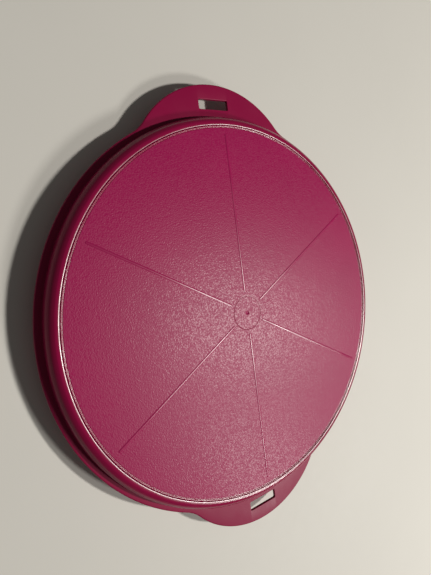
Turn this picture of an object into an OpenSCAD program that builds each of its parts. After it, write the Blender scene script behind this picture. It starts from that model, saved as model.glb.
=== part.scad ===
// Lid unit of a crank-driven salad spinner, lying with its crank side down and its drive plate up.
// Millimetres. Origin on the supporting surface at the centre of the lid, +Z up, lugs along X.

/* [Rim] */
// Radius of the rim crown that runs round the drive plate
bead_r = 125; // [124:0.5:126]
// Height of the rim crown above the supporting surface
lid_h = 22.4; // [22:0.1:26]
// Height of the top of the ledge that the bowl's rim meets
ledge_z = 13; // [12:0.1:13.4]
// Thickness of the ledge, of the lugs and of the web under the plate
web_t = 2.2; // [1.8:0.1:2.4]
// How far the ledge reaches past the rim crown
ledge_reach = 10; // [8:0.5:14]

/* [Lugs] */
// Radius of each lug's outline
lug_r = 67.5; // [60:0.5:78]
// Distance from the middle of the lid to the tip of a lug
lug_tip = 152.8; // [149:0.2:158]
// Radius that blends a lug into the ledge
lug_blend_r = 26; // [10:1:30]
// Distance from the middle of the lid to the middle of a slot
slot_x = 139.8; // [138.6:0.2:141]
// Width of a slot, across the lug
slot_w = 6.4; // [5:0.2:7]
// Length of a slot
slot_l = 23; // [16:1:30]

/* [Plate] */
// Gap between the plate's edge and the rim
plate_gap = 0.3; // [0.3:0.05:0.5]
// Thickness of the drive plate
plate_t = 2; // [1.6:0.1:2.2]
// Width of each raised rib on the plate
rib_w = 1; // [0.8:0.1:1.6]
// Height of each raised rib on the plate
rib_h = 0.3; // [0.2:0.1:0.5]
// Radius at which the ribs start
rib_in_r = 13.8; // [13:0.1:20]
// Radius at which the ribs end
rib_out_r = 118.5; // [100:0.5:119]
// Radius of the cap over the plate screw
cap_r = 11.1; // [9:0.1:12]

/* [Crank] */
// Radius of the crank disc
crank_r = 62.7; // [60:0.1:63]
// Width of the folding handle
handle_w = 15; // [12:0.5:16]
// Length of the folding handle from its hinge
handle_l = 38; // [34:0.5:39]
// Direction in which the folded handle lies
handle_dir = 0; // [0:120:240]

/* [Gears] */
// Module of the gear teeth
gear_m = 2; // [2:0.5:2]
// Teeth of the sun gear and of each planet gear
sun_teeth = 18; // [18:6:18]
// How much thinner than nominal each tooth is
backlash = 0.2; // [0.1:0.05:0.4]

/* [Hidden] */
$fn = 96;
eps = 0.01;

magenta = "#b01657";
magenta_light = "#c23a72";
gear_white = "#e9e6dc";
steel = "#b9bcc0";

// Heights: the web under the plate stands above the ledge outside the wall
web_top = 16;
web_z = web_top - web_t;
ledge_low = ledge_z - web_t;
plate_top = lid_h - 0.45;
plate_z = plate_top - plate_t;
ledge_r = bead_r + ledge_reach;

// Edge of the plate: a small round lip
plate_r = bead_r - 1;
lip_rad = 0.6;
lip_h = 0.2;

// Rim round the plate: a slope that faces in, a narrow crown and a shoulder that rounds down to the wall
well_r = plate_r + plate_gap;
slope_rad = 6;
slope_from = -20;
slope_to = -5;
crown_rad = 1;
crown_to = 22;
wall_top_r = bead_r + 5.6;
wall_foot_r = bead_r + 5.8;
wall_t = 2;
hollow_top = lid_h - 3.6;
crown_c = [well_r + slope_rad * (sin(slope_to) - sin(slope_from)) - crown_rad * sin(slope_to), lid_h - crown_rad];
slope_c = crown_c - (slope_rad - crown_rad) * [sin(slope_to), cos(slope_to)];
shoulder_rad = (wall_top_r - crown_c[0] - crown_rad * sin(crown_to)) / (1 - sin(crown_to));
shoulder_c = crown_c - (shoulder_rad - crown_rad) * [sin(crown_to), cos(crown_to)];

// Cover
cover_t = 2;
cover_r = wall_foot_r - 0.2;
cover_bend = ledge_low - 0.8;
crank_open_r = crank_r + 0.4;
boss_circle = 100;
boss_r = 4;
screw_r = 1.5;
screw_head_r = 3;
screw_head_h = 1.5;

// Gears: three planets between a sun and a fixed ring
planet_count = 3;
planet_start = 60;
ring_teeth = 3 * sun_teeth;
sun_pitch_r = gear_m * sun_teeth / 2;
ring_pitch_r = gear_m * ring_teeth / 2;
planet_r = 2 * sun_pitch_r;
gear_z = 8.4;
gear_t = 4.2;
sun_z = 8.9;
sun_t = 4;
ring_out_r = ring_pitch_r + 6;
ring_flange_z = 10.4;
ring_flange_t = 2;
ring_flange_r = ring_out_r + 10;
ring_screw_circle = ring_out_r + 6;
ring_boss_r = 3.6;
ring_screw_r = 1.25;

// Shaft, bush and plate hub
shaft_r = 4;
shaft_fit = 0.1;
shaft_z = 4.6;
shaft_neck_r = 3;
shaft_flat = 2.2;
bush_r = 6.5;
bush_flange_r = 9;
bush_flange_t = 0.9;
hub_r = 8;
hub_z = web_top + bush_flange_t + 0.3;
cap_t = 1;
cap_gap = 0.15;
screw_pocket_r = 4.5;
screw_pocket_z = plate_top - cap_t - 1.6;

// Crank disc and the parts on it
crank_z = 0.8;
crank_t = 2.8;
crank_lip_r = crank_r + 3.3;
crank_lip_z = 2.4;
crank_hub_r = 8;
crank_hub_top = 7.9;
planet_boss_r = 5.5;
planet_boss_top = 7.6;
pin_r = 2.5;
pin_top = web_z - 0.35;
bay_in = 12.5;
bay_out = 60;
bay_w = handle_w + 1;
bay_top = 6.8;
bay_wall = 1.2;
scoop_r = 13;
scoop_x = 27;
hinge_x = 56;
hinge_z = 3.7;
handle_t = 5;
handle_pin_r = 1;

// Radii and angles of an involute tooth flank with a 20 degree pressure angle
function involute_deg(base_r, r) = let (a = acos(min(1, base_r / r))) tan(a) * 180 / PI - a;
function polar(r, a) = [r * cos(a), r * sin(a)];

// Outline of a gear: root, flank out, tip, flank in, for each tooth
function gear_points(teeth, m, root_r, tip_r, thin, steps = 4) =
    let (
        pitch_r = m * teeth / 2,
        base_r = pitch_r * cos(20),
        half = 90 / teeth - thin / 2 / pitch_r * 180 / PI,
        at_pitch = involute_deg(base_r, pitch_r),
        first_r = max(base_r, root_r + 0.3),
        radii = [for (i = [0 : steps]) first_r + (tip_r - first_r) * i / steps],
        flank = [for (r = radii) [r, half + at_pitch - involute_deg(base_r, r)]]
    )
    [for (k = [0 : teeth - 1]) let (mid = k * 360 / teeth) each concat(
        [polar(root_r, mid - flank[0][1])],
        [for (f = flank) polar(f[0], mid - f[1])],
        [for (i = [steps : -1 : 0]) polar(flank[i][0], mid + flank[i][1])],
        [polar(root_r, mid + flank[0][1])]
    )];

module tube(r_out, r_in, h) {
    difference() {
        cylinder(r = r_out, h = h);
        translate([0, 0, -eps]) cylinder(r = r_in, h = h + 2 * eps);
    }
}

module ring_of(count, r, start = 0) {
    for (k = [0 : count - 1]) rotate(start + k * 360 / count) translate([r, 0, 0]) children();
}

// Points on an arc, by the angle of its normal from straight up
function arc_points(c, r, from, to, steps) =
    [for (i = [0 : steps]) let (t = from + (to - from) * i / steps) c + r * [sin(t), cos(t)]];

// Web under the plate, the rim's hollow wall round it, and the ledge
module rim_section() {
    translate([bush_r, web_z]) square([well_r + wall_t - bush_r, web_t]);
    translate([wall_foot_r - wall_t, ledge_low]) square([ledge_r - web_t / 2 - wall_foot_r + wall_t, web_t]);
    translate([ledge_r - web_t / 2, ledge_low + web_t / 2]) circle(r = web_t / 2, $fn = 32);
    polygon(concat(
        [[well_r, web_z]],
        arc_points(slope_c, slope_rad, slope_from, slope_to, 4),
        arc_points(crown_c, crown_rad, slope_to + 4, crown_to, 5),
        arc_points(shoulder_c, shoulder_rad, crown_to + 6, 90, 12),
        [
            [wall_foot_r, ledge_z],
            [wall_foot_r, ledge_low],
            [wall_foot_r - wall_t, ledge_low],
            [wall_foot_r - wall_t, hollow_top],
            [well_r + wall_t, hollow_top],
            [well_r + wall_t, web_z]
        ]
    ));
}

// One lug: a disc with a rounded edge that runs in to the wall, and its two blends
module lug() {
    difference() {
        lug_disc();
        translate([0, 0, ledge_low - 1]) cylinder(r = wall_foot_r - 0.8, h = web_t + 2, $fn = 180);
    }
}

module lug_disc() {
    lug_x = lug_tip - lug_r;
    edge = web_t / 2;
    translate([lug_x, 0, ledge_low]) rotate_extrude() {
        square([lug_r - edge, web_t]);
        translate([lug_r - edge, edge]) circle(r = edge, $fn = 32);
    }
    // centre of the circle that touches both the ledge's and the lug's outline
    to_ledge = ledge_r + lug_blend_r;
    to_lug = lug_r + lug_blend_r;
    blend_x = (to_ledge * to_ledge - to_lug * to_lug + lug_x * lug_x) / (2 * lug_x);
    blend_y = sqrt(to_ledge * to_ledge - blend_x * blend_x);
    for (s = [-1, 1]) translate([0, 0, ledge_low + edge * 0.15]) linear_extrude(web_t - edge * 0.3) difference() {
        polygon([[0, 0], [lug_x, 0], [blend_x, s * blend_y]]);
        translate([blend_x, s * blend_y]) circle(r = lug_blend_r, $fn = 64);
    }
}

module slot_cut() {
    round_r = 0.8;
    translate([slot_x, 0, ledge_low - 1]) linear_extrude(web_t + 3) {
        square([slot_w - 2 * round_r, slot_l], center = true);
        square([slot_w, slot_l - 2 * round_r], center = true);
        for (x = [-1, 1], y = [-1, 1])
            translate([x * (slot_w / 2 - round_r), y * (slot_l / 2 - round_r)]) circle(r = round_r, $fn = 24);
    }
}

module lid_rim() {
    color(magenta) difference() {
        union() {
            rotate_extrude($fn = 180) rim_section();
            lug();
            mirror([1, 0, 0]) lug();
            ring_of(6, ring_screw_circle, 30) translate([0, 0, ring_flange_z + ring_flange_t])
                cylinder(r = ring_boss_r, h = web_z - ring_flange_z - ring_flange_t + eps, $fn = 32);
        }
        slot_cut();
        mirror([1, 0, 0]) slot_cut();
        translate([0, 0, web_z - 1]) cylinder(r = bush_r, h = web_t + 2);
        ring_of(6, ring_screw_circle, 30) translate([0, 0, ring_flange_z])
            cylinder(r = ring_screw_r, h = web_top - 0.6 - ring_flange_z, $fn = 32);
        ring_of(6, boss_circle, 30) translate([0, 0, web_z - 1]) cylinder(r = screw_r + 0.2, h = web_t + 2, $fn = 32);
    }
}

// Dish of the cover: flat annulus that the lid rests on, a quarter-round bend and the skirt
module cover_section() {
    translate([crank_open_r, 0]) square([cover_r - cover_bend - crank_open_r, cover_t]);
    translate([cover_r - cover_bend, cover_bend]) intersection() {
        difference() {
            circle(r = cover_bend, $fn = 96);
            circle(r = cover_bend - cover_t, $fn = 96);
        }
        translate([0, -cover_bend]) square([cover_bend, cover_bend]);
    }
    translate([cover_r - cover_t, cover_bend]) square([cover_t, ledge_low - cover_bend]);
    // collar that keeps the crank disc's lip in place
    translate([crank_lip_r + 0.8, cover_t - eps]) square([1.6, 2.2]);
}

module top_cover() {
    color(magenta) difference() {
        union() {
            rotate_extrude($fn = 180) cover_section();
            ring_of(6, boss_circle, 30) translate([0, 0, cover_t - eps])
                cylinder(r = boss_r, h = web_z - cover_t + eps, $fn = 48);
            ring_of(12, 0, 15) translate([crank_lip_r + 2, -0.8, cover_t - eps]) cube([44, 1.6, 3]);
        }
        ring_of(6, boss_circle, 30) translate([0, 0, 4.5]) cylinder(r = screw_r, h = web_z, $fn = 32);
    }
}

module cover_screws() {
    color(steel) ring_of(6, boss_circle, 30) difference() {
        union() {
            translate([0, 0, web_top]) cylinder(r = screw_head_r, h = screw_head_h, $fn = 48);
            translate([0, 0, 5]) cylinder(r = screw_r, h = web_top - 5 + eps, $fn = 32);
        }
        screw_cross(web_top + screw_head_h, 0.9, 3.2);
    }
}

// Cross recess cut downwards from the height top
module screw_cross(top, depth, span) {
    for (a = [0, 90]) rotate(a) translate([-span / 2, -0.4, top - depth]) cube([span, 0.8, depth + 1]);
}

module ring_gear() {
    tip_r = ring_pitch_r - gear_m * 0.9;
    root_r = ring_pitch_r + gear_m * 1.2;
    color(gear_white) difference() {
        union() {
            translate([0, 0, gear_z]) cylinder(r = ring_out_r, h = gear_t, $fn = 120);
            translate([0, 0, ring_flange_z]) cylinder(r = ring_flange_r, h = ring_flange_t, $fn = 120);
        }
        // the space between the ring's teeth is the outline of a gear with slightly fatter teeth
        translate([0, 0, gear_z - 1]) rotate(180 / ring_teeth) linear_extrude(gear_t + 2)
            intersection() {
                polygon(gear_points(ring_teeth, gear_m, tip_r, root_r, -backlash, 3));
                circle(r = root_r - 0.01, $fn = 120);
            }
        ring_of(6, ring_screw_circle, 30) translate([0, 0, ring_flange_z - 1])
            cylinder(r = ring_screw_r, h = ring_flange_t + 2, $fn = 32);
    }
}

module ring_screws() {
    head_h = 1.6;
    color(steel) ring_of(6, ring_screw_circle, 30) difference() {
        union() {
            translate([0, 0, ring_flange_z - head_h]) cylinder(r = 2.6, h = head_h, $fn = 48);
            translate([0, 0, ring_flange_z - eps]) cylinder(r = ring_screw_r, h = 4.6, $fn = 32);
        }
        for (a = [0, 90]) rotate(a) translate([-1.4, -0.35, ring_flange_z - head_h - 1]) cube([2.8, 0.7, 1.8]);
    }
}

module plate_bush() {
    color(gear_white) difference() {
        union() {
            translate([0, 0, web_z]) cylinder(r = bush_r, h = web_t);
            translate([0, 0, web_top]) cylinder(r = bush_flange_r, h = bush_flange_t);
        }
        translate([0, 0, web_z - 1]) cylinder(r = shaft_r + shaft_fit, h = web_t + bush_flange_t + 2);
    }
}

module d_shape(r, flat) {
    intersection() {
        circle(r = r, $fn = 64);
        translate([-r, -r]) square([2 * r, r + flat]);
    }
}

module drive_plate() {
    stiffener_h = 1.4;
    color(magenta_light) difference() {
        union() {
            rotate_extrude($fn = 180) {
                translate([0, plate_z]) square([plate_r - lip_rad, plate_t]);
                translate([plate_r - lip_rad, plate_top + lip_h - lip_rad]) circle(r = lip_rad, $fn = 32);
                translate([plate_r - 3, plate_z - stiffener_h]) square([2, stiffener_h + eps]);
            }
            translate([0, 0, hub_z]) cylinder(r = hub_r, h = plate_z - hub_z + eps);
            for (k = [0 : 5]) rotate(60 * k) {
                translate([rib_in_r, -rib_w / 2, plate_top - eps]) cube([rib_out_r - rib_in_r, rib_w, rib_h + eps]);
                translate([hub_r - 1, -0.7, plate_z - stiffener_h]) cube([plate_r - 2 - hub_r, 1.4, stiffener_h + eps]);
            }
        }
        translate([0, 0, plate_top - cap_t]) cylinder(r = cap_r + cap_gap, h = cap_t + 1);
        translate([0, 0, screw_pocket_z]) cylinder(r = screw_pocket_r, h = 3);
        translate([0, 0, hub_z - 1]) linear_extrude(6) d_shape(shaft_neck_r, shaft_flat);
    }
}

module hub_cap() {
    color(magenta_light) difference() {
        union() {
            translate([0, 0, plate_top - cap_t]) cylinder(r = cap_r, h = cap_t);
        }
        translate([0, 0, plate_top + 1.7]) sphere(r = 2.2, $fn = 48);
    }
}

module plate_screw() {
    color(steel) difference() {
        union() {
            translate([0, 0, screw_pocket_z]) cylinder(r = 2.8, h = 1.5, $fn = 48);
            translate([0, 0, 13.4]) cylinder(r = screw_r, h = screw_pocket_z - 13.4 + eps, $fn = 32);
        }
        screw_cross(screw_pocket_z + 1.5, 0.9, 3.2);
    }
}

module drive_shaft() {
    color(steel) difference() {
        union() {
            translate([0, 0, shaft_z]) cylinder(r = shaft_r, h = hub_z - shaft_z);
            translate([0, 0, hub_z - eps]) linear_extrude(screw_pocket_z - 0.1 - hub_z) d_shape(shaft_neck_r, shaft_flat);
        }
        translate([0, 0, 13.4]) cylinder(r = screw_r, h = 8, $fn = 32);
    }
}

module spur_gear(bore_r, z, h) {
    translate([0, 0, z]) linear_extrude(h) difference() {
        polygon(gear_points(sun_teeth, gear_m, sun_pitch_r - gear_m * 1.2, sun_pitch_r + gear_m * 0.9, backlash));
        circle(r = bore_r, $fn = 64);
    }
}

module sun_gear() {
    color(gear_white) spur_gear(shaft_r, sun_z, sun_t);
}

module shaft_clip() {
    color(steel) translate([0, 0, sun_z - 0.6]) difference() {
        tube(6.2, shaft_r, 0.6);
        translate([0, -1.6, -1]) cube([8, 3.2, 3]);
    }
}

module thrust_washer() {
    color(gear_white) translate([0, 0, sun_z + sun_t]) tube(7, shaft_r, 0.5);
}

// Space in the crank disc that the folded handle lies in, grown by grow on every side
module bay(grow, top) {
    translate([bay_in - grow, -bay_w / 2 - grow, 0]) cube([bay_out - bay_in + 2 * grow, bay_w + 2 * grow, top]);
    translate([scoop_x, 0, 0]) cylinder(r = scoop_r + grow, h = top, $fn = 64);
}

module crank_disc() {
    color(magenta) difference() {
        union() {
            translate([0, 0, crank_z]) cylinder(r = crank_r, h = crank_t, $fn = 120);
            translate([0, 0, crank_lip_z]) cylinder(r = crank_lip_r, h = crank_z + crank_t - crank_lip_z, $fn = 120);
            translate([0, 0, crank_z]) cylinder(r = crank_hub_r, h = crank_hub_top - crank_z);
            ring_of(planet_count, planet_r, planet_start) translate([0, 0, crank_z])
                cylinder(r = planet_boss_r, h = planet_boss_top - crank_z, $fn = 48);
            rotate(handle_dir) intersection() {
                translate([0, 0, crank_z]) bay(bay_wall, bay_top + 0.9 - crank_z);
                cylinder(r = crank_r, h = 10);
            }
        }
        rotate(handle_dir) difference() {
            bay(0, bay_top);
            // the two ears that carry the handle's pin
            for (s = [-1, 1]) translate([hinge_x - 3, s * (handle_w / 2 + 0.15) - (s < 0 ? 3 : 0), 0]) cube([8, 3, 9]);
        }
        rotate(handle_dir) translate([hinge_x, 0, hinge_z]) rotate([90, 0, 0])
            cylinder(r = handle_pin_r, h = handle_w + 5, center = true, $fn = 32);
        translate([0, 0, shaft_z - 0.3]) cylinder(r = shaft_r + shaft_fit, h = 6);
        ring_of(planet_count, planet_r, planet_start) translate([0, 0, 2]) cylinder(r = pin_r, h = 10, $fn = 48);
    }
}

module planet_pins() {
    color(steel) ring_of(planet_count, planet_r, planet_start) translate([0, 0, 2]) cylinder(r = pin_r, h = pin_top - 2, $fn = 48);
}

module planet_washers() {
    color(steel) ring_of(planet_count, planet_r, planet_start) translate([0, 0, planet_boss_top]) tube(5, pin_r, 0.5);
}

module planet_clips() {
    color(steel) ring_of(planet_count, planet_r, planet_start) translate([0, 0, gear_z + gear_t + 0.3]) difference() {
        tube(4.4, pin_r, 0.5);
        translate([0, -1.1, -1]) cube([6, 2.2, 3]);
    }
}

// Planet k stands half a tooth round, so that its gaps face the sun's and the ring's teeth
module planet_gear(k) {
    color(gear_white) rotate(planet_start + k * 360 / planet_count) translate([planet_r, 0, 0])
        rotate(180 / sun_teeth) spur_gear(pin_r + shaft_fit, gear_z, gear_t);
}

module planet_gear_1() { planet_gear(0); }
module planet_gear_2() { planet_gear(1); }
module planet_gear_3() { planet_gear(2); }

// Paddle grip, folded flat: a rounded bar with a hinge barrel at its outer end and a raised finger ridge
module crank_handle() {
    tip_round = 5;
    color(gear_white) rotate(handle_dir) difference() {
        union() {
            translate([hinge_x, 0, hinge_z]) rotate([90, 0, 0])
                cylinder(r = handle_t / 2, h = handle_w, center = true, $fn = 48);
            translate([hinge_x - handle_l + tip_round, -handle_w / 2, hinge_z - handle_t / 2])
                cube([handle_l - tip_round, handle_w, handle_t]);
            translate([hinge_x - handle_l, -handle_w / 2 + tip_round, hinge_z - handle_t / 2])
                cube([tip_round + 1, handle_w - 2 * tip_round, handle_t]);
            for (s = [-1, 1]) translate([hinge_x - handle_l + tip_round, s * (handle_w / 2 - tip_round),
                hinge_z - handle_t / 2]) cylinder(r = tip_round, h = handle_t, $fn = 48);
        }
        translate([hinge_x, 0, hinge_z]) rotate([90, 0, 0])
            cylinder(r = handle_pin_r + 0.08, h = handle_w + 2, center = true, $fn = 32);
        // grip grooves across both faces
        for (x = [0 : 4], s = [-1, 1]) translate([hinge_x - handle_l + 7 + 3.5 * x, 0, hinge_z + s * (handle_t / 2 + 0.5)])
            rotate([90, 0, 0]) cylinder(r = 1, h = handle_w - 4, center = true, $fn = 24);
        // pockets for the two detent springs
        for (s = [-1, 1]) translate([hinge_x - 9, s * (handle_w / 2 - 0.6) - 0.7, hinge_z - 1.5]) cube([5, 1.4, 3]);
    }
}

module handle_pin() {
    color(steel) rotate(handle_dir) translate([hinge_x, 0, hinge_z]) rotate([90, 0, 0])
        cylinder(r = handle_pin_r, h = handle_w + 4, center = true, $fn = 32);
}

module detent_springs() {
    color(steel) rotate(handle_dir) for (s = [-1, 1])
        translate([hinge_x - 9, s * (handle_w / 2 - 0.45) - 0.2, hinge_z - 1.5]) cube([5, 0.4, 3]);
}

lid_rim();
top_cover();
cover_screws();
ring_gear();
ring_screws();
plate_bush();
drive_plate();
hub_cap();
plate_screw();
drive_shaft();
sun_gear();
shaft_clip();
thrust_washer();
crank_disc();
planet_pins();
planet_washers();
planet_clips();
planet_gear_1();
planet_gear_2();
planet_gear_3();
crank_handle();
handle_pin();
detent_springs();
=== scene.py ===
"""Salad spinner lid unit on a pale surface: looks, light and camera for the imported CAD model."""

import math

import bpy
from mathutils import Matrix, Vector
from mathutils.geometry import tessellate_polygon


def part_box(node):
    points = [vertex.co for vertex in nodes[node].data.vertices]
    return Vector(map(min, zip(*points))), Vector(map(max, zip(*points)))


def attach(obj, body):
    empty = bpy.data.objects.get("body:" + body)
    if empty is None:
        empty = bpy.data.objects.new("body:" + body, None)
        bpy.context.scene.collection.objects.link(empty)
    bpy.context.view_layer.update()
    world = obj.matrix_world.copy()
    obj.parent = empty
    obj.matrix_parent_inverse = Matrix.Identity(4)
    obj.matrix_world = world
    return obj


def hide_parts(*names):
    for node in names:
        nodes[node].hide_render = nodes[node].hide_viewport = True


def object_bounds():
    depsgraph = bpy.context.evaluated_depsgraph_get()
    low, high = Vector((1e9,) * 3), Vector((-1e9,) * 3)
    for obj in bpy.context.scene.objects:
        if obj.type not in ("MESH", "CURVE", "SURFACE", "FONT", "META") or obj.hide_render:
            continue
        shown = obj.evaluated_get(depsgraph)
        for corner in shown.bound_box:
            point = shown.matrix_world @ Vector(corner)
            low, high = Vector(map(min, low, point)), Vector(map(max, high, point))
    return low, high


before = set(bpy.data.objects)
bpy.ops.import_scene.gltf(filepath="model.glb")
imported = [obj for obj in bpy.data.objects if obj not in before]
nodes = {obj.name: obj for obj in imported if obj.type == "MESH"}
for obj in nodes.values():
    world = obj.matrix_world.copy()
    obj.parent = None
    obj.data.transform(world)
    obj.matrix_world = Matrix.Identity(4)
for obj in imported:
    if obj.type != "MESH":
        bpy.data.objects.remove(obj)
cad_lo, cad_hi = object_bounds()

MM = 0.001
LID_TOP = cad_hi.z

# Linear colours
MAGENTA_RIM = (0.25, 0.0025, 0.046)
MAGENTA_PLATE = (0.32, 0.0030, 0.074)
NATURAL_WHITE = (0.68, 0.65, 0.57)
STEEL = (0.62, 0.63, 0.65)
WORKTOP = (0.66, 0.64, 0.59)

# Size of the soft patches in the plastics' colour, in mm
MOTTLE_MM = 38


# ---------- materials ----------

class Nodes:
    """A material's node tree, with short calls to add and link nodes."""

    def __init__(self, name):
        self.material = bpy.data.materials.new(name)
        self.material.use_nodes = True
        self.tree = self.material.node_tree
        self.shader = self.tree.nodes["Principled BSDF"]
        coords = self.tree.nodes.new("ShaderNodeTexCoord")
        self.place = coords.outputs["Object"]

    def add(self, kind, **settings):
        node = self.tree.nodes.new(kind)
        for key, value in settings.items():
            setattr(node, key, value)
        return node

    def link(self, output, socket):
        self.tree.links.new(output, socket)

    def noise(self, size_mm, detail=2.0, stretch=None):
        """Noise with features of that size, in the part's own coordinates."""
        node = self.add("ShaderNodeTexNoise")
        node.inputs["Scale"].default_value = 1 / (size_mm * MM)
        node.inputs["Detail"].default_value = detail
        place = self.place
        if stretch:
            mapping = self.add("ShaderNodeMapping")
            mapping.inputs["Scale"].default_value = stretch
            self.link(self.place, mapping.inputs["Vector"])
            place = mapping.outputs["Vector"]
        self.link(place, node.inputs["Vector"])
        return node.outputs["Fac"]

    def spread(self, value, low, high, from_low=0.3, from_high=0.7):
        """value mapped from its usual span to low..high."""
        node = self.add("ShaderNodeMapRange")
        node.inputs["From Min"].default_value = from_low
        node.inputs["From Max"].default_value = from_high
        node.inputs["To Min"].default_value = low
        node.inputs["To Max"].default_value = high
        self.link(value, node.inputs["Value"])
        return node.outputs["Result"]

    def two_colours(self, value, first, second):
        node = self.add("ShaderNodeMix", data_type="RGBA")
        self.link(value, node.inputs["Factor"])
        node.inputs[6].default_value = (*first, 1)
        node.inputs[7].default_value = (*second, 1)
        return node.outputs[2]

    def bump(self, height, depth_mm, strength=1.0, below=None):
        node = self.add("ShaderNodeBump")
        node.inputs["Distance"].default_value = depth_mm * MM
        node.inputs["Strength"].default_value = strength
        self.link(height, node.inputs["Height"])
        if below:
            self.link(below, node.inputs["Normal"])
        return node.outputs["Normal"]


def tint(colour, factor):
    return tuple(c * factor for c in colour)


def moulded(name, colour, rough, grain_mm, grain_depth_mm, rough_spread=0.05, shade=0.07, specular=0.5):
    """Moulded plastic: mottled colour, uneven gloss and a fine grain."""
    n = Nodes(name)
    n.shader.inputs["Specular IOR Level"].default_value = specular
    mottle = n.spread(n.noise(MOTTLE_MM, 3), 0, 1)
    base = n.two_colours(mottle, tint(colour, 1 - shade), tint(colour, 1 + shade))
    n.link(base, n.shader.inputs["Base Color"])
    gloss = n.spread(n.noise(14, 4), rough - rough_spread, rough + rough_spread)
    n.link(gloss, n.shader.inputs["Roughness"])
    n.link(n.bump(n.noise(grain_mm, 3), grain_depth_mm), n.shader.inputs["Normal"])
    return n.material


def grained(name, colour, rough, rough_spread, specular):
    """Plastic from a spark-eroded mould: each grain has its own gloss, so that it sparkles in the glare."""
    n = Nodes(name)
    n.shader.inputs["Specular IOR Level"].default_value = specular
    mottle = n.spread(n.noise(MOTTLE_MM, 3), 0, 1)
    base = n.two_colours(mottle, tint(colour, 0.97), tint(colour, 1.03))
    n.link(base, n.shader.inputs["Base Color"])
    gloss = n.spread(n.noise(0.9, 0), rough - rough_spread, rough + rough_spread, 0.36, 0.64)
    n.link(gloss, n.shader.inputs["Roughness"])
    n.link(n.bump(n.noise(0.7, 0), 0.08), n.shader.inputs["Normal"])
    return n.material


def brushed_steel(name):
    """Turned and plated steel with fine lines."""
    n = Nodes(name)
    n.shader.inputs["Metallic"].default_value = 1.0
    lines = n.noise(0.35, 2, stretch=(1, 1, 9))
    n.link(n.two_colours(n.spread(lines, 0, 1), tint(STEEL, 0.85), STEEL), n.shader.inputs["Base Color"])
    n.link(n.spread(lines, 0.24, 0.38), n.shader.inputs["Roughness"])
    n.link(n.bump(lines, 0.01), n.shader.inputs["Normal"])
    return n.material


def worktop():
    n = Nodes("worktop_surface")
    cloud = n.spread(n.noise(160, 3), 0, 1)
    n.link(n.two_colours(cloud, tint(WORKTOP, 0.985), tint(WORKTOP, 1.015)), n.shader.inputs["Base Color"])
    n.link(n.spread(n.noise(9, 3), 0.52, 0.58), n.shader.inputs["Roughness"])
    n.shader.inputs["Specular IOR Level"].default_value = 0.25
    n.link(n.bump(n.noise(1.1, 2), 0.012), n.shader.inputs["Normal"])
    return n.material


def dress(material, *names):
    """Gives CAD nodes one material."""
    for name in names:
        slots = nodes[name].data.materials
        slots.clear()
        slots.append(material)


rim_plastic = moulded("rim_plastic_gloss", MAGENTA_RIM, 0.22, 0.8, 0.008, specular=0.35)
ledge_plastic = moulded("rim_plastic_satin", MAGENTA_RIM, 0.42, 0.8, 0.02, shade=0.03, specular=0.2)
plate_plastic = grained("plate_plastic_grained", MAGENTA_PLATE, 0.40, 0.08, specular=0.24)
rib_plastic = moulded("rib_plastic_gloss", MAGENTA_PLATE, 0.3, 0.8, 0.008, specular=0.55)
cover_plastic = moulded("cover_plastic_gloss", MAGENTA_RIM, 0.3, 1.2, 0.008, rough_spread=0.015, shade=0.03,
                        specular=0.4)
gear_plastic = moulded("gear_plastic_natural", NATURAL_WHITE, 0.48, 0.4, 0.01)
grip_plastic = moulded("grip_plastic_white", tint(NATURAL_WHITE, 1.1), 0.34, 0.6, 0.02)
plated_steel = brushed_steel("steel_plated")

dress(rim_plastic, "lid_rim")
dress(plate_plastic, "drive_plate", "hub_cap")
dress(cover_plastic, "top_cover", "crank_disc")
dress(gear_plastic, "ring_gear", "sun_gear", "planet_gear_1", "planet_gear_2", "planet_gear_3")
dress(gear_plastic, "plate_bush", "thrust_washer")
dress(grip_plastic, "crank_handle")
dress(plated_steel, "cover_screws", "ring_screws", "plate_screw", "drive_shaft", "shaft_clip")
dress(plated_steel, "planet_pins", "planet_washers", "planet_clips", "handle_pin", "detent_springs")


def smooth(mesh, crease=32):
    """Smooth shading, with edges over that angle, in degrees, left sharp."""
    mesh.shade_smooth()
    mesh.set_sharp_from_angle(angle=math.radians(crease))


for node in nodes.values():
    smooth(node.data)


# ---------- fine meshes, in millimetres ----------

def arc(centre, radius, start, end, steps):
    """Points on a round stretch, from one angle to another, in degrees."""
    angles = [math.radians(start + (end - start) * i / steps) for i in range(steps + 1)]
    return [(centre[0] + radius * math.cos(a), centre[1] + radius * math.sin(a)) for a in angles]


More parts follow.
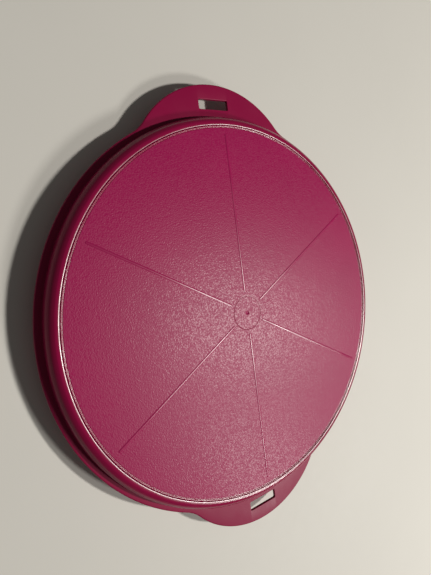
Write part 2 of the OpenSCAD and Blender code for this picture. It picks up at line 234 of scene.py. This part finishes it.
class Shell:
    """Vertices and faces of one piece, gathered before its object is made."""

    def __init__(self):
        self.points = []
        self.faces = []
        self.finish = []

    def add_points(self, points):
        first = len(self.points)
        self.points += points
        return list(range(first, len(self.points)))

    def face(self, corners, finish=0):
        self.faces.append(corners)
        self.finish.append(finish)

    def bridge(self, lower, upper, finish=0):
        """Quads between two closed loops with the same number of points."""
        count = len(lower)
        for i in range(count):
            j = (i + 1) % count
            self.face((lower[i], lower[j], upper[j], upper[i]), finish)

    def revolve(self, section, finish_of=lambda middle: 0, segments=720):
        """A closed section of (radius, height) points, turned round Z. Counter-clockwise sections face out."""
        loops = []
        for radius, height in section:
            turns = [2 * math.pi * k / segments for k in range(segments)]
            ring = [(radius * math.cos(t), radius * math.sin(t), height) for t in turns]
            loops.append(self.add_points(ring))
        for i, loop in enumerate(loops):
            j = (i + 1) % len(loops)
            middle = ((section[i][0] + section[j][0]) / 2, (section[i][1] + section[j][1]) / 2)
            self.bridge(loop, loops[j], finish_of(middle))

    def make(self, name, body, materials, replaced):
        mesh = bpy.data.meshes.new(name)
        mesh.from_pydata([tuple(v * MM for v in p) for p in self.points], [], self.faces)
        for material in materials:
            mesh.materials.append(material)
        mesh.polygons.foreach_set("material_index", self.finish)
        mesh.validate()
        smooth(mesh)
        piece = bpy.data.objects.new(name, mesh)
        bpy.context.scene.collection.objects.link(piece)
        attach(piece, body)
        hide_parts(replaced)
        return piece


def in_mm(node):
    low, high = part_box(node)
    return low / MM, high / MM


_, rim_high = in_mm("lid_rim")
plate_low, plate_high = in_mm("drive_plate")
cap_low, cap_high = in_mm("hub_cap")

# Plate
PLATE_THICK = 2.0
BORE_R = 3.0
HUB_R = 8.0
HUB_EDGE = 0.4
SCREW_HEAD_R = 4.5
SCREW_HEAD_DEPTH = 1.6
STIFFENER = 1.4
STIFFENER_SPAN = (3, 1)
LIP_RAD = 0.6
LIP_HEIGHT = 0.2
LIP_GROOVE = 0.16
POCKET_GAP = 0.05
POCKET_EDGE = 0.45
POCKET_DEPTH = 0.1
plate_r = plate_high.x
plate_top = cap_high.z
plate_under = plate_top - PLATE_THICK
hub_under = plate_low.z
RIB_COUNT = 6
RIB_WIDTH = 1.9
RIB_HEIGHT = 0.2
RIB_SUNK = 0.03
RIB_SPAN = (13.8, 118.5)

# Rim
WEB_THICK = 2.2
WEB_TOP = 16.0
LEDGE_Z = 13.0
web_z = WEB_TOP - WEB_THICK
ledge_low = LEDGE_Z - WEB_THICK
ledge_r = rim_high.y
lug_tip = rim_high.x
PLATE_GAP = 0.12
WALL_THICK = 2.0
HOLLOW_TOP = 18.8
# The rim is glossy down to this far below the crown
GLOSS_DEPTH = 2.4
# Gap's edge, slope that faces in, crown, its outer edge and shoulder: (radius, angle from, angle to, steps)
CROWN_TURNS = ((0.15, 180, 110, 3), (2.8, 110, 92, 6), (4.5, 92, 76, 6), (0.8, 76, 62, 4), (6.6, 62, 0, 22))
well_r = plate_r + PLATE_GAP
crown_z = rim_high.z
wall_top_r = plate_r + 6.6
wall_foot_r = plate_r + 6.8
FILLET = 0.5
FOOT_SINK = 0.2
BUSH_R = 6.5
LUG_R = 67.5
BLEND_R = 26.0
SLOT_MIDDLE = 139.8
SLOT = (6.4, 23.0)
SLOT_CORNER = 0.8
LEDGE_EDGE = 0.9
SLOT_EDGE = 0.35


def plate_section():
    """Hub, plate and lip, from the hub's bore outwards and back over the top."""
    lip_r = plate_r - LIP_RAD
    lip_z = plate_top + LIP_HEIGHT - LIP_RAD
    ring_in, ring_out = (plate_r - inset for inset in STIFFENER_SPAN)
    pocket_r = cap_high.x + POCKET_GAP
    screw_seat = cap_low.z - SCREW_HEAD_DEPTH
    return [
        (BORE_R, hub_under),
        *arc((HUB_R - HUB_EDGE, hub_under + HUB_EDGE), HUB_EDGE, -90, 0, 4),
        (HUB_R, plate_under),
        (ring_in, plate_under),
        (ring_in, plate_under - STIFFENER),
        (ring_out, plate_under - STIFFENER),
        (ring_out, plate_under),
        (lip_r, plate_under),
        *arc((lip_r, lip_z), LIP_RAD, -60, 150, 20),
        (lip_r - 0.65, plate_top - LIP_GROOVE),
        (lip_r - 0.9, plate_top - LIP_GROOVE),
        (lip_r - 1.1, plate_top),
        (pocket_r + 2 * POCKET_EDGE, plate_top),
        (pocket_r + POCKET_EDGE, plate_top),
        (pocket_r, plate_top - POCKET_DEPTH),
        (pocket_r, cap_low.z),
        (SCREW_HEAD_R, cap_low.z),
        (SCREW_HEAD_R, screw_seat),
        (BORE_R, screw_seat),
    ]


def add_ribs(shell):
    """Low crowned ribs on the plate, each sunk a little into it."""
    base = plate_top - RIB_SUNK
    across = [(1 - k / 4, 1 - (1 - k / 4) ** 2) for k in range(9)]
    # Where each cross-section stands, from the rib's inner and then its outer end, and its scale
    ends = ((0, 0.3), (0.25, 0.75), (0.7, 1), (-0.7, 1), (-0.25, 0.75), (0, 0.3))
    for k in range(RIB_COUNT):
        turn = math.radians(k * 360 / RIB_COUNT)
        cos, sin = math.cos(turn), math.sin(turn)
        stations = []
        for along, scale in ends:
            outer = len(stations) >= len(ends) // 2
            reach = RIB_SPAN[outer] + along
            half, height = RIB_WIDTH / 2 * scale, (RIB_HEIGHT + RIB_SUNK) * scale
            ring = [(c * half, base + h * height) for c, h in across]
            points = [(reach * cos - y * sin, reach * sin + y * cos, z) for y, z in ring]
            stations.append(shell.add_points(points))
        for near, far in zip(stations, stations[1:]):
            shell.bridge(near, far, finish=2)
        shell.face(tuple(reversed(stations[0])), finish=2)
        shell.face(tuple(stations[-1]), finish=2)


def make_plate():
    def finish_of(middle):
        """The flat top is grained, and the rest is smooth."""
        on_top = abs(middle[1] - plate_top) < 0.01 and middle[0] < plate_r - STIFFENER_SPAN[1]
        return 1 if on_top else 0

    shell = Shell()
    shell.revolve(plate_section(), finish_of)
    add_ribs(shell)
    shell.make("drive_plate_fine", "plate", [rim_plastic, plate_plastic, rib_plastic], "drive_plate")


def tangent_arcs(start, turns):
    """Points along arcs that carry on from one another: each turn is (radius, angle from, angle to, steps)."""
    points = [start]
    for radius, first, last, steps in turns:
        centre = (points[-1][0] - radius * math.cos(math.radians(first)),
                  points[-1][1] - radius * math.sin(math.radians(first)))
        points += arc(centre, radius, first, last, steps)[1:]
    return points


def rim_section():
    """Web, hollow wall and crown, from the bush's hole outwards and back over the top."""
    over = tangent_arcs((0, 0), CROWN_TURNS)
    peak = max(z for _, z in over)
    shrink = (wall_top_r - well_r) / over[-1][0]
    crown = [(well_r + r * shrink, crown_z - peak + z) for r, z in over]
    return [
        (BUSH_R, web_z),
        (well_r + WALL_THICK, web_z),
        (well_r + WALL_THICK, HOLLOW_TOP),
        (wall_foot_r - WALL_THICK, HOLLOW_TOP),
        (wall_foot_r - WALL_THICK, ledge_low),
        (wall_foot_r, ledge_low),
        (wall_foot_r, LEDGE_Z - FOOT_SINK),
        (wall_foot_r + FILLET, LEDGE_Z - FOOT_SINK),
        (wall_foot_r + FILLET, LEDGE_Z + 0.001),
        *reversed(arc((wall_foot_r + FILLET, LEDGE_Z + FILLET), FILLET, -180, -90, 6)),
        *reversed(crown),
        (well_r, WEB_TOP),
        (BUSH_R, WEB_TOP),
    ]


def rim_outline(inset):
    """Outline of the ledge and both lugs, moved in by inset: one quarter, then its mirror images."""
    lug_x = lug_tip - LUG_R
    to_ledge, to_lug = ledge_r + BLEND_R, LUG_R + BLEND_R
    blend_x = (to_ledge ** 2 - to_lug ** 2 + lug_x ** 2) / (2 * lug_x)
    blend_y = math.sqrt(to_ledge ** 2 - blend_x ** 2)
    at_ledge = math.degrees(math.atan2(blend_y, blend_x))
    at_lug = math.degrees(math.atan2(blend_y, blend_x - lug_x))
    quarter = [
        *arc((lug_x, 0), LUG_R - inset, 0, at_lug, 70),
        *arc((blend_x, blend_y), BLEND_R + inset, at_lug + 180, at_ledge + 180, 14)[1:],
        *arc((0, 0), ledge_r - inset, at_ledge, 90, 100)[1:],
    ]
    left = [(-x, y) for x, y in reversed(quarter)]
    return quarter + left[1:] + [(-x, -y) for x, y in quarter[1:]] + [(-x, -y) for x, y in left[1:-1]]


def slot_outline(side, grow):
    """Rounded outline of one lug's slot, grown by grow."""
    half = (SLOT[0] / 2 - SLOT_CORNER, SLOT[1] / 2 - SLOT_CORNER)
    points = []
    for quarter, (sx, sy) in enumerate(((1, 1), (-1, 1), (-1, -1), (1, -1))):
        centre = (side * SLOT_MIDDLE + sx * half[0], sy * half[1])
        points += arc(centre, SLOT_CORNER + grow, 90 * quarter, 90 * quarter + 90, 6)
    return points


def edge_levels(radius):
    """(inset, height) of a rounded edge's loops, from the underside to the top."""
    turns = [math.radians(15 * k) for k in range(7)]
    low = [(radius * (1 - math.sin(t)), ledge_low + radius * (1 - math.cos(t))) for t in turns]
    high = [(radius * (1 - math.sin(t)), LEDGE_Z - radius * (1 - math.cos(t))) for t in reversed(turns)]
    return low + high


def add_ledge(shell):
    """Ledge and lugs: one flat plate with rounded edges, a slot in each lug and a round hole for the wall."""
    outer_loops = [shell.add_points([(x, y, z) for x, y in rim_outline(inset)])
                   for inset, z in edge_levels(LEDGE_EDGE)]
    for lower, upper in zip(outer_loops, outer_loops[1:]):
        shell.bridge(lower, upper, finish=1)
    hole_loops = []
    for side in (1, -1):
        loops = [shell.add_points([(x, y, z) for x, y in slot_outline(side, grow)])
                 for grow, z in edge_levels(SLOT_EDGE)]
        hole_loops.append(loops)
    inner = arc((0, 0), wall_foot_r - FOOT_SINK, 0, 360, 360)[:-1]
    hole_loops.append([shell.add_points([(x, y, z) for x, y in inner]) for z in (ledge_low, LEDGE_Z)])
    for loops in hole_loops:
        for lower, upper in zip(loops, loops[1:]):
            shell.bridge(upper, lower, finish=1)
    for level in (0, -1):
        borders = [outer_loops[level]] + [loops[level] for loops in hole_loops]
        flat = [[Vector((*shell.points[i][:2], 0)) for i in border] for border in borders]
        order = [i for border in borders for i in border]
        for triangle in tessellate_polygon(flat):
            a, b, c = (order[i] for i in triangle)
            ab = [shell.points[b][k] - shell.points[a][k] for k in (0, 1)]
            ac = [shell.points[c][k] - shell.points[a][k] for k in (0, 1)]
            faces_up = ab[0] * ac[1] - ab[1] * ac[0] > 0
            shell.face((a, b, c) if faces_up == (level == -1) else (a, c, b), finish=1)


def make_rim():
    def finish_of(middle):
        """The crown is glossy, and the wall below it is satin."""
        return 1 if middle[1] < crown_z - GLOSS_DEPTH else 0

    shell = Shell()
    shell.revolve(rim_section(), finish_of)
    add_ledge(shell)
    shell.make("lid_rim_fine", "lid", [rim_plastic, ledge_plastic], "lid_rim")


make_plate()
make_rim()


# ---------- surface, light and camera ----------

def add_floor(half_size=5.0, height=-0.0001):
    """The surface, a hair below the part so that no two faces share a plane."""
    mesh = bpy.data.meshes.new("worktop")
    corners = [(x * half_size, y * half_size, height) for x, y in ((-1, -1), (1, -1), (1, 1), (-1, 1))]
    mesh.from_pydata(corners, [], [(0, 1, 2, 3)])
    floor = bpy.data.objects.new("worktop", mesh)
    bpy.context.scene.collection.objects.link(floor)
    mesh.materials.append(worktop())


def direction(azimuth, elevation):
    """Unit vector from the lid towards that azimuth, counted from +X, and elevation, in degrees."""
    a, e = math.radians(azimuth), math.radians(elevation)
    return Vector((math.cos(e) * math.cos(a), math.cos(e) * math.sin(a), math.sin(e)))


def add_lamp(name, azimuth, elevation, distance, size, power, colour=(1, 1, 1)):
    lamp = bpy.data.lights.new(name, "AREA")
    lamp.shape = "DISK"
    lamp.size = size
    lamp.energy = power
    lamp.color = colour
    holder = bpy.data.objects.new(name, lamp)
    towards = direction(azimuth, elevation)
    holder.location = towards * distance
    holder.rotation_mode = "QUATERNION"
    holder.rotation_quaternion = towards.to_track_quat("Z", "Y")
    bpy.context.scene.collection.objects.link(holder)


def add_world(strength):
    bpy.context.scene.view_settings.view_transform = "Standard"
    world = bpy.data.worlds.new("soft_room")
    world.use_nodes = True
    background = world.node_tree.nodes["Background"]
    background.inputs["Color"].default_value = (1.0, 0.985, 0.95, 1)
    background.inputs["Strength"].default_value = strength
    bpy.context.scene.world = world


def add_camera():
    """A phone held over the lid, a quarter turn round, so that the lugs stand at the top and the bottom."""
    crown_r = 125 * MM
    azimuth, elevation, roll = (math.radians(v) for v in (-100.77, 55.49, 91.45))
    distance = 2.222 * crown_r
    target = Vector((-0.171 * crown_r, -0.189 * crown_r, LID_TOP))
    back = Vector((math.cos(elevation) * math.cos(azimuth), math.cos(elevation) * math.sin(azimuth),
                   math.sin(elevation)))
    right = (-back).cross(Vector((0, 0, 1))).normalized()
    up = right.cross(-back)
    right, up = (math.cos(roll) * right + math.sin(roll) * up, math.cos(roll) * up - math.sin(roll) * right)
    camera = bpy.data.cameras.new("phone_camera")
    camera.sensor_width = 36
    camera.lens = 27.1
    camera.clip_start, camera.clip_end = 0.01, 50
    holder = bpy.data.objects.new("phone_camera", camera)
    turn = Matrix((right, up, back)).transposed().to_4x4()
    holder.matrix_world = Matrix.Translation(target + back * distance) @ turn
    bpy.context.scene.collection.objects.link(holder)
    bpy.context.scene.camera = holder


add_floor()
add_world(0.085)
add_lamp("key_lamp", 71, 53, 1.9, 0.15, 25, (1.0, 0.97, 0.92))
add_lamp("second_lamp", 44, 44, 2.1, 0.3, 15, (1.0, 0.98, 0.94))
add_camera()
